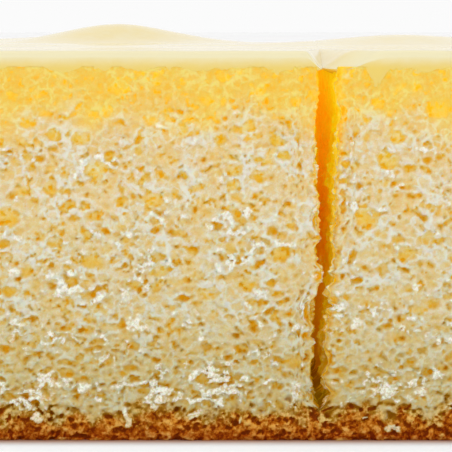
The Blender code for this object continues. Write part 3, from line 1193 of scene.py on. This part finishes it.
def colour_property(name, description, default):
    return bpy.props.FloatVectorProperty(
        name=name, description=description, default=default, subtype="COLOR", size=3, min=0, max=1
    )


class CrumbSettings(bpy.types.PropertyGroup):
    """Sizes and colours of the sponge."""

    step: bpy.props.FloatProperty(
        name="Point spacing",
        description="Spacing of the surface's points where the front shows most, in millimetres",
        default=FINE_STEP,
        min=0.08,
    )
    # From torn crumb to holes, these colours follow the pit mark as painted shade: pale on rims and
    # deeper orange further into the pores
    torn: colour_property("Torn crumb", "Ragged bits and rims", (0.77, 0.74, 0.62))
    wall: colour_property("Walls", "Crumb between the pores", (0.77, 0.61, 0.33))
    cup: colour_property("Pores", "Inside of an opened pore", (0.81, 0.54, 0.15))
    deep_cup: colour_property("Deep pores", "Bottom of an opened pore", (0.84, 0.46, 0.04))
    hole: colour_property("Holes", "Where a pore breaks into the next", (0.86, 0.37, 0.005))
    loose: colour_property("Loose crumb", "Bits that stand out", (0.90, 0.89, 0.81))
    # Partly the syrup's stain and partly painted light through the icing
    soaked: colour_property("Soaking", "What the icing's syrup leaves", (1.0, 0.86, 0.30))


class IcingSettings(bpy.types.PropertyGroup):
    """Size and colours of the icing."""

    rounding: bpy.props.FloatProperty(
        name="Edge rounding",
        description="Radius of the icing's outer edge, in millimetres",
        default=ICING_ROUNDING,
        min=0.1,
    )
    top: colour_property("Icing", "The icing's top", (0.80, 0.72, 0.44))
    low: colour_property("Icing's edge", "Where the icing meets the crumb", (0.80, 0.58, 0.11))


class StageSettings(bpy.types.PropertyGroup):
    """Floor and light."""

    floor: colour_property("Floor", "The floor's colour", (0.96, 0.97, 0.99))
    world: bpy.props.FloatProperty(
        name="Surrounding light", description="Strength of the light from all round", default=0.965
    )
    fill: bpy.props.FloatProperty(
        name="Front light", description="How much more light comes from the front", default=0.22
    )
    key: bpy.props.FloatProperty(
        name="Top light", description="Power of the lamp above the cake", default=0.05, unit="POWER"
    )


def crumb_finish(settings):
    """Crumb with painted shade, deeper yellow the further in it lies, and a painted glow, over a
    granular brown crust.
    """
    finish = Finish("sponge_crumb_finish")
    pit, fleck, glow = finish.mark("pit"), finish.mark("fleck"), finish.mark("glow")
    crust, soak = finish.mark("crust"), finish.mark("soak")
    mottle = finish.grain(2.5) - 0.5
    fine = (finish.grain(0.40, 4.0) - 0.5) * 0.36 + (finish.grain(0.13, 2.0) - 0.5) * 0.40
    web = finish.net(1.2, 0.02, 0.22)
    patches = finish.step(finish.grain(3.0, 2.0), 0.40, 0.58)
    # Painted shade: from pale torn crumb on rims to deep orange holes, following the pit mark
    tone = pit * 0.62 + mottle * 0.62 + fine - web * patches * 0.24 + 0.34
    colour = finish.ramp(
        tone,
        (
            (0.0, tuple(settings.torn)),
            (0.28, tuple(settings.wall)),
            (0.52, tuple(settings.cup)),
            (0.80, tuple(settings.deep_cup)),
            (1.0, tuple(settings.hole)),
        ),
    )
    # Partly painted shade: darker and more olive towards the base
    shade = finish.ramp(finish.height(), HEIGHT_TONE_AND_SHADE)
    colour = finish.blend(1.0, colour, shade, "MULTIPLY")
    speck = finish.step(finish.grain(0.28, 3.0), 0.38, 0.60)
    loose = finish.step(fleck, 0.10, 0.90) * (speck * 0.75 + 0.18)
    low = finish.step(finish.height(), 0.04, 0.09)
    bits = finish.blend(low, LOW_BITS, settings.loose)
    colour = finish.blend(loose, colour, bits)
    # The soaked top turns yellower: partly the syrup's stain, partly painted light through the
    # icing
    soaked = finish.blend(1.0, colour, settings.soaked, "MULTIPLY")
    colour = finish.blend(soak * (1.0 - fleck * 0.8), colour, soaked)
    # The crust's grains, darker in the pits as painted shade
    grains = finish.grain(0.90, 3.0) * 0.80 + finish.grain(0.30, 5.0) - pit * 0.80 - 0.41
    # Darker and redder right at the base
    low = finish.step(finish.height(), 0.0, 0.05)
    red = finish.blend(low, (0.88, 0.66, 0.50), (1.0, 1.0, 1.0))
    brown = finish.blend(1.0, finish.ramp(grains, CRUST_TONES), red, "MULTIPLY")
    toast = finish.ramp(grains, TOAST_TONES)
    # Near the crust the pits brown first: partly toasting, partly painted shade in the pores
    browned_and_shaded = crust + (pit - 0.05) * finish.step(crust, 0.0, 0.30) * 0.70
    brown = finish.blend(finish.step(browned_and_shaded, 0.55, 1.0), toast, brown)
    colour = finish.blend(finish.step(browned_and_shaded, 0.05, 0.60), colour, brown)
    finish.set(Base_Color=colour, Roughness=0.8)
    # Painted glow: emission in the cut, in the pores and on the soaked top, for light through the
    # crumb and the icing
    near_light = finish.ramp(finish.height(), NEAR_LIGHT)
    deep_light = finish.ramp(finish.height(), DEEP_LIGHT)
    light = finish.blend(finish.mark("deep"), near_light, deep_light)
    soaked = finish.blend(soak, (0.0, 0.0, 0.0), SOAKED_LIGHT)
    light = finish.blend(glow * (1.0 - crust * 0.5), soaked, light)
    in_pores = finish.blend(soak, PORE_LIGHT, SOAKED_PORE_LIGHT)
    share = finish.step(pit, 0.0, 0.6) * (1.0 - finish.step(crust, 0.1, 0.6))
    share = share * (1.0 - finish.step(glow, 0.4, 0.8))
    in_pores = finish.blend(share, (0.0, 0.0, 0.0), in_pores)
    light = finish.blend(1.0, light, in_pores, "ADD")
    finish.set(Emission_Color=light, Emission_Strength=1.0)
    finish.set(Specular_IOR_Level=0.05, Subsurface_Weight=0.35, Subsurface_Scale=0.0008)
    finish.set(Subsurface_Radius=(1.5, 0.6, 0.15))
    finish.bump(finish.grain(0.17, 3.0), 0.07, 0.8)
    return finish.material


def icing_finish(settings):
    """Smooth pale icing that yellows where it soaks into the crumb."""
    finish = Finish("pale_icing_finish")
    sink = finish.mark("sink") + (finish.grain(2.0) - 0.5) * 0.35
    colour = finish.blend(finish.step(sink, 0.15, 1.0), settings.top, settings.low)
    finish.set(Base_Color=colour, Roughness=0.24, Coat_Weight=0.55, Coat_Roughness=0.12)
    finish.bump(finish.grain(1.6, 2.0), 0.04, 0.5)
    return finish.material


def make_sponge(settings):
    """The sponge's four blocks: each portion's front and back."""
    pores = solid_pores()
    foams = {}
    for number, name in enumerate(SIDES):
        half = HALF_WIDTH if name in ("front", "back") else HALF_DEPTH
        levels = FINE_LEVELS if name == "front" else COARSE_LEVELS
        foams[name] = Foam(-half, half, levels, pores[name], FOAM_SEED + number).bubbles()

    def relief(name, places, heights):
        seed = RELIEF_SEED + RELIEF_SEEDS_APART * list(SIDES).index(name)
        return Relief(name, places, heights, foams[name], seed)

    def across(x):
        beyond = max(SEEN_FROM - x, x - SEEN_TO, 0.0)
        return min(settings.step + STEP_GROWTH * beyond, EDGE_STEP)

    def along(y):
        return min(settings.step + STEP_GROWTH * (y + HALF_DEPTH), WALL_STEP)

    near = {"up": settings.step, "across": across, "along": along}
    far = {"up": BACK_STEP, "across": lambda x: BACK_STEP, "along": lambda y: WALL_STEP}
    finish = crumb_finish(settings)
    for portion, x_end in (("left", -HALF_WIDTH), ("right", HALF_WIDTH)):
        for place, y_near, y_far, step in (
            ("front", -HALF_DEPTH, JOINT_Y + JOINT_LAP, near),
            ("back", JOINT_Y - JOINT_LAP, HALF_DEPTH, far),
        ):
            name = f"crumb_{portion}_{place}"
            made = Block(portion, x_end, y_near, y_far, step, relief).build(name)
            made.data.materials.append(finish)
            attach(made, "root")
            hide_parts("sponge")


def wave_height(x, y):
    """How far the spreading knife's waves lift the icing at a place."""
    height = np.zeros(np.broadcast(x, y).shape)
    for centre_x, centre_y, length, width, turn, lift in ICING_WAVES:
        angle = math.radians(turn)
        dx, dy = x - centre_x, y - centre_y
        along = dx * math.cos(angle) + dy * math.sin(angle)
        across = -dx * math.sin(angle) + dy * math.cos(angle)
        height += lift * np.exp(-((along / length) ** 2 + (across / width) ** 2))
    return height


def icing_top(rounding, side):
    """The grid of one portion's icing as seen from above, with how far its outer edge is."""
    inner_end = LEFT_ICING_END if side < 0 else RIGHT_ICING_END
    run = LEFT_SLOPE_RUN if side < 0 else RIGHT_SLOPE_RUN

    def from_edges(low, high):
        def step(place):
            distance = min(place - low, max(high - place, 0.0))
            return min(ICING_FINE_STEP + ICING_STEP_GROWTH * distance, ICING_STEP)

        return stepped(low, high, step)

    share = from_edges(0.0, HALF_WIDTH)
    share = share / share[-1]
    ys = from_edges(-HALF_DEPTH, HALF_DEPTH)
    torn = RIGHT_FRONT_TEAR * fall(ys + HALF_DEPTH, TEAR_DEPTH) if side > 0 else 0 * ys
    open_front = fall(ys + HALF_DEPTH, FUNNEL_DEPTH)
    parted = fall(ys + HALF_DEPTH, CLOSING_DEPTH)
    closed_end = CLOSED_AT - side * CLOSED_OVERLAP
    inner_end = closed_end + (inner_end + torn - closed_end) * parted
    run = CLOSED_RUN + (run - CLOSED_RUN) * open_front[None, :]
    height, cell, seed = CUT_EDGE_RIPPLE
    inner = inner_end + height * ripple(ys, 0 * ys, cell, seed) * parted
    x = inner[None, :] + (side * HALF_WIDTH - inner[None, :]) * share[:, None]
    y = ys[None, :] + 0 * x
    height, cell, seed = ICING_RIPPLE
    full = SPONGE_TOP + ICING_THICKNESS + wave_height(x, y) + height * ripple(x, y, cell, seed)
    from_cut = np.abs(x - inner[None, :])
    slope = smooth((from_cut + SLOPE_START) / run)
    slope = 1.0 - (1.0 - slope) * open_front[None, :]
    slope -= CLOSED_DIP * fall(from_cut, CLOSED_RUN) * (1.0 - open_front[None, :])
    low = SPONGE_TOP - CUT_EDGE_SINK
    z = low + (full - low) * slope
    edge = np.minimum(np.minimum(HALF_WIDTH - np.abs(x), y + HALF_DEPTH), HALF_DEPTH - y)
    short = np.clip(rounding - edge, 0.0, rounding)
    z = z - (rounding - np.sqrt(np.maximum(rounding**2 - short**2, 0.0))) * slope
    if side < 0:
        x, y, z, edge = x[::-1], y[::-1], z[::-1], edge[::-1]
    return x, y, z, edge


def icing_skirt(rim):
    """Rows of points down from the rim. Their lower edge follows the drips at the front."""
    x, y, top = rim.T
    at_front = y < RIM_SLACK - HALF_DEPTH
    foot = SPONGE_TOP - ICING_FOOT
    foot = foot + (ICING_FOOT - ICING_SINK) * fall(np.abs(x), SHALLOW_FOOT_REACH)
    drip = np.zeros(len(rim))
    for centre, half, reach in DRIPS:
        beside = fall(np.abs(x - centre), half * DRIP_SPREAD)
        drip = np.maximum(drip, reach * beside * at_front)
    foot = np.minimum(foot - drip, top - LEAST_SKIRT)
    at_edge = np.abs(rim[:, :2]) > np.array((HALF_WIDTH, HALF_DEPTH)) - RIM_SLACK
    out = np.where(at_edge, np.sign(rim[:, :2]), 0.0)
    for row in range(1, SKIRT_ROWS + 1):
        down = row / SKIRT_ROWS
        level = top + (foot - top) * down
        bulge = 0.0
        for height, cell, seed in SKIRT_BULGES:
            bulge = bulge + height * ripple(x + y, level, cell, seed)
        tuck = np.clip(SPONGE_TOP - drip + TUCK_START - level, 0.0, TUCK_LIMIT)
        bulge = SKIRT_OUT + bulge * min(SKIRT_EASE * down, 1.0) - TUCK_SLANT * tuck
        yield np.column_stack([rim[:, :2] + bulge[:, None] * out, level])


def make_icing(settings, name, side, finish):
    """One portion's icing: a smooth top, rounded edges and a skirt that sinks into the crumb."""
    x, y, z, edge = icing_top(settings.rounding, side)
    index = np.arange(x.size).reshape(x.shape)
    ring = np.concatenate([index[:-1, 0], index[-1, :-1], index[:0:-1, -1], index[0, :0:-1]])
    top = np.stack([x, y, z], axis=-1).reshape(-1, 3)
    points = np.concatenate([top, *icing_skirt(top[ring])])
    quads = [grid_quads(index)]
    upper = ring
    for row in range(SKIRT_ROWS):
        lower = len(top) + row * len(ring) + np.arange(len(ring))
        quads.append(np.stack([lower, np.roll(lower, -1), np.roll(upper, -1), upper], axis=-1))
        upper = lower
    quads = np.concatenate(quads)
    base = upper[::-1]
    sink = SPONGE_TOP + ICING_THICKNESS - points[:, 2]
    sink = np.clip(sink / (ICING_THICKNESS + CUT_EDGE_SINK), 0.0, MOST_SINK)
    sink[: len(top)] = TOP_SINK * smooth(edge.reshape(-1) / TOP_SINK_REACH)
    uv = icing_map(points[:, :2], quads, base, len(ring))
    made = make_mesh(name, points, quads, [base], {"sink": sink}, uv)
    made.data.materials.append(finish)
    return made


def icing_map(flat, quads, base, ring):
    """A flat map: the top as seen from above, the skirt unrolled above it, the base last."""

    def placed(xy, left, low, width):
        xy = xy - xy.min(0)
        return xy / max(np.ptp(xy, axis=0)) * width + (left, low)

    left, bottom, width, height = ICING_SKIRT_MAP
    rows = []
    for row in range(SKIRT_ROWS):
        low, high = 1 - (row + 1) / SKIRT_ROWS, 1 - row / SKIRT_ROWS
        for i in range(ring):
            a, b = i / ring, (i + 1) / ring
            rows.append(((a, low), (b, low), (b, high), (a, high)))
    skirt = np.array(rows).reshape(-1, 2) * (width, height) + (left, bottom)
    top = flat[quads[: len(quads) - SKIRT_ROWS * ring]].reshape(-1, 2)
    top, base = placed(top, *ICING_TOP_MAP), placed(flat[base], *ICING_BASE_MAP)
    return np.concatenate([top, skirt, base])


class CAKE_OT_make_sponge(bpy.types.Operator):
    """Make the crumb and crust of both portions"""

    bl_idname = "cake.make_sponge"
    bl_label = "Make Sponge"

    def execute(self, context):
        make_sponge(context.scene.cake_crumb)
        return {"FINISHED"}


class CAKE_OT_make_icing(bpy.types.Operator):
    """Make the icing of both portions"""

    bl_idname = "cake.make_icing"
    bl_label = "Make Icing"

    def execute(self, context):
        settings = context.scene.cake_icing
        finish = icing_finish(settings)
        for name, node, side in (
            ("glaze_left", "icing_left", -1),
            ("glaze_right", "icing_right", 1),
        ):
            made = make_icing(settings, name, side, finish)
            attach(made, "root")
            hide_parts(node)
        return {"FINISHED"}


class CAKE_OT_set_stage(bpy.types.Operator):
    """Set the floor, the light and the camera"""

    bl_idname = "cake.set_stage"
    bl_label = "Set Stage"

    def execute(self, context):
        settings = context.scene.cake_stage
        set_floor(settings)
        set_light(context.scene, settings)
        set_camera(context.scene)
        return {"FINISHED"}


# The floor, by how far it is from the cake in millimetres: its painted contact shadow and the
# painted light that its emission adds
FLOOR_PAINTED_SHADOW = (
    (0.0, (0.41, 0.22, 0.13)),
    (0.22, (0.55, 0.38, 0.30)),
    (0.50, (0.73, 0.66, 0.61)),
    (1.0, (1.0, 1.0, 1.0)),
)
CONTACT_SHADOW_REACH = 4.0
FLOOR_PAINTED_LIGHT = (
    (0.0, (0.08, 0.13, 0.19)),
    (0.12, (0.075, 0.12, 0.17)),
    (1.0, (0.0, 0.0, 0.0)),
)
FLOOR_LIGHT_REACH = 250.0
# The floor's shade far from the cake, where the painted light has faded
FAR_FLOOR_SHADE = (0.90, 0.89, 0.87)
HALF_FLOOR = 4000.0


def set_floor(settings):
    """A pale floor with a painted contact shadow, darker and warmer, right at the cake, and painted
    light from its emission.
    """
    finish = Finish("floor_finish")
    where = finish.add("ShaderNodeTexCoord", output="Object")
    beyond = []
    for axis, half in (("X", HALF_WIDTH), ("Y", HALF_DEPTH)):
        place = finish.add("ShaderNodeSeparateXYZ", values={0: where}, output=axis)
        place = finish.add("ShaderNodeMath", {"operation": "ABSOLUTE"}, {0: place})
        beyond.append(place - half * MM)
    distance = finish.add("ShaderNodeMath", {"operation": "MAXIMUM"}, {0: beyond[0], 1: beyond[1]})
    # Painted contact shadow round the cake's foot
    contact_shadow = finish.ramp(distance * (1.0 / (CONTACT_SHADOW_REACH * MM)), FLOOR_PAINTED_SHADOW)
    far = finish.step(distance, 0.0, FLOOR_LIGHT_REACH * MM)
    shade = finish.blend(far, contact_shadow, FAR_FLOOR_SHADE)
    colour = finish.blend(1.0, tuple(settings.floor), shade, "MULTIPLY")
    # Painted light: emission that lifts the floor near the cake, less in the painted shadow
    light = finish.ramp(distance * (1.0 / (FLOOR_LIGHT_REACH * MM)), FLOOR_PAINTED_LIGHT)
    light = finish.blend(1.0, light, contact_shadow, "MULTIPLY")
    finish.set(Base_Color=colour, Roughness=0.6, Specular_IOR_Level=0.2)
    finish.set(Emission_Color=light, Emission_Strength=1.0)
    mesh = bpy.data.meshes.new("floor")
    far = HALF_FLOOR * MM
    corners = [(-far, -far, 0), (far, -far, 0), (far, far, 0), (-far, far, 0)]
    mesh.from_pydata(corners, [], [(0, 1, 2, 3)])
    mesh.materials.append(finish.material)
    floor = bpy.data.objects.new("floor", mesh)
    bpy.context.scene.collection.objects.link(floor)


def set_light(scene, settings):
    """Light from all round, more of it from the front, and a soft lamp above."""
    world = bpy.data.worlds.new("studio")
    world.use_nodes = True
    nodes = Nodes(world.node_tree)
    background = nodes.nodes["Background"]
    direction = nodes.add("ShaderNodeTexCoord", output="Generated")
    product = {"operation": "DOT_PRODUCT"}
    values = {0: direction, 1: FILL_FROM}
    towards = nodes.add("ShaderNodeVectorMath", product, values, output="Value")
    values = {"Value": towards, "From Min": 0.0, "From Max": 1.0}
    fill = nodes.add("ShaderNodeMapRange", values=values)
    nodes.feed(background.inputs["Color"], (1.0, 1.0, 1.0))
    nodes.feed(background.inputs["Strength"], fill * settings.fill + settings.world)
    scene.world = world
    lamp = bpy.data.lights.new("top_light", "AREA")
    lamp.energy = settings.key
    lamp.size = LAMP_SIZE * MM
    placed = bpy.data.objects.new("top_light", lamp)
    placed.location = Vector(LAMP_PLACE) * MM
    placed.rotation_euler = (LAMP_TILT, 0.0, 0.0)
    scene.collection.objects.link(placed)
    scene.view_settings.view_transform = "Standard"
    scene.cycles.max_bounces = BOUNCES
    scene.cycles.diffuse_bounces = DIFFUSE_BOUNCES


def set_camera(scene):
    """The photograph's view: from the front, a little above."""
    camera = bpy.data.cameras.new("camera")
    camera.lens = LENS_MM
    camera.sensor_width = SENSOR_MM
    camera.clip_start = NEAREST_SEEN * MM
    placed = bpy.data.objects.new("camera", camera)
    front = -HALF_DEPTH * MM
    placed.location = (CAMERA_X * MM, front - CAMERA_DISTANCE * MM, CAMERA_Z * MM)
    aim = Vector((CAMERA_X * MM, front, AIM_Z * MM)) - placed.location
    placed.rotation_euler = aim.to_track_quat("-Z", "Y").to_euler()
    scene.collection.objects.link(placed)
    scene.camera = placed


class CAKE_PT_panel(bpy.types.Panel):
    """Lists the steps that make the cake, with their sizes and colours"""

    bl_idname = "CAKE_PT_panel"
    bl_label = "Iced Sponge Cake"
    bl_space_type = "VIEW_3D"
    bl_region_type = "UI"
    bl_category = "Cake"

    def draw(self, context):
        for group, operator in STEPS:
            box = self.layout.box()
            settings = getattr(context.scene, group)
            for name in settings.__annotations__:
                box.prop(settings, name)
            box.operator(operator.bl_idname)


STEPS = (
    ("cake_crumb", CAKE_OT_make_sponge),
    ("cake_icing", CAKE_OT_make_icing),
    ("cake_stage", CAKE_OT_set_stage),
)
GROUPS = {"cake_crumb": CrumbSettings, "cake_icing": IcingSettings, "cake_stage": StageSettings}
CLASSES = (*GROUPS.values(), *(operator for _, operator in STEPS), CAKE_PT_panel)


def register():
    for made in CLASSES:
        bpy.utils.register_class(made)
    for name, group in GROUPS.items():
        setattr(bpy.types.Scene, name, bpy.props.PointerProperty(type=group))


def unregister():
    for name in GROUPS:
        delattr(bpy.types.Scene, name)
    for made in reversed(CLASSES):
        bpy.utils.unregister_class(made)


def main():
    register()
    bpy.ops.cake.make_sponge()
    bpy.ops.cake.make_icing()
    bpy.ops.cake.set_stage()


if __name__ == "__main__":
    main()
